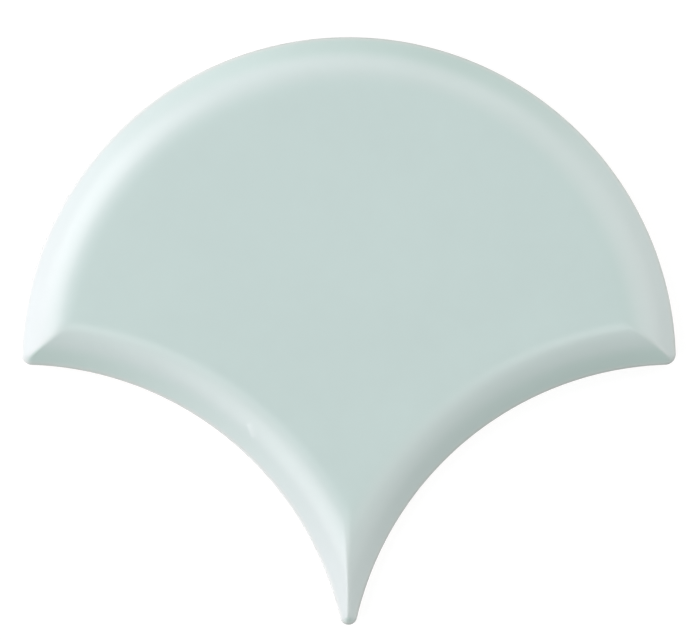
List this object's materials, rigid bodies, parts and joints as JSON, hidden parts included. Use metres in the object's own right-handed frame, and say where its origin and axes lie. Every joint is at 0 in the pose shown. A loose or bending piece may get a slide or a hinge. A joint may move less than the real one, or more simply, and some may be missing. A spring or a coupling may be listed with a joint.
{
  "type": "fish scale tile",
  "caption": "Pale mint glazed ceramic wall tile in a fish scale outline: round top, a concave scoop on each lower side, a pointed tip, and a soft bevel all round.",
  "frame": {"origin": "centre of the round top's arc, on the back face", "axes": "+Z out of the glazed face, +Y from the tip towards the round top, +X towards the right corner as seen from the face"},
  "size_m": [0.15, 0.1346, 0.009],
  "materials": {
    "glaze": "gloss"
  },
  "bodies": {
    "root": {"tile": "glaze"}
  },
  "joints": []
}
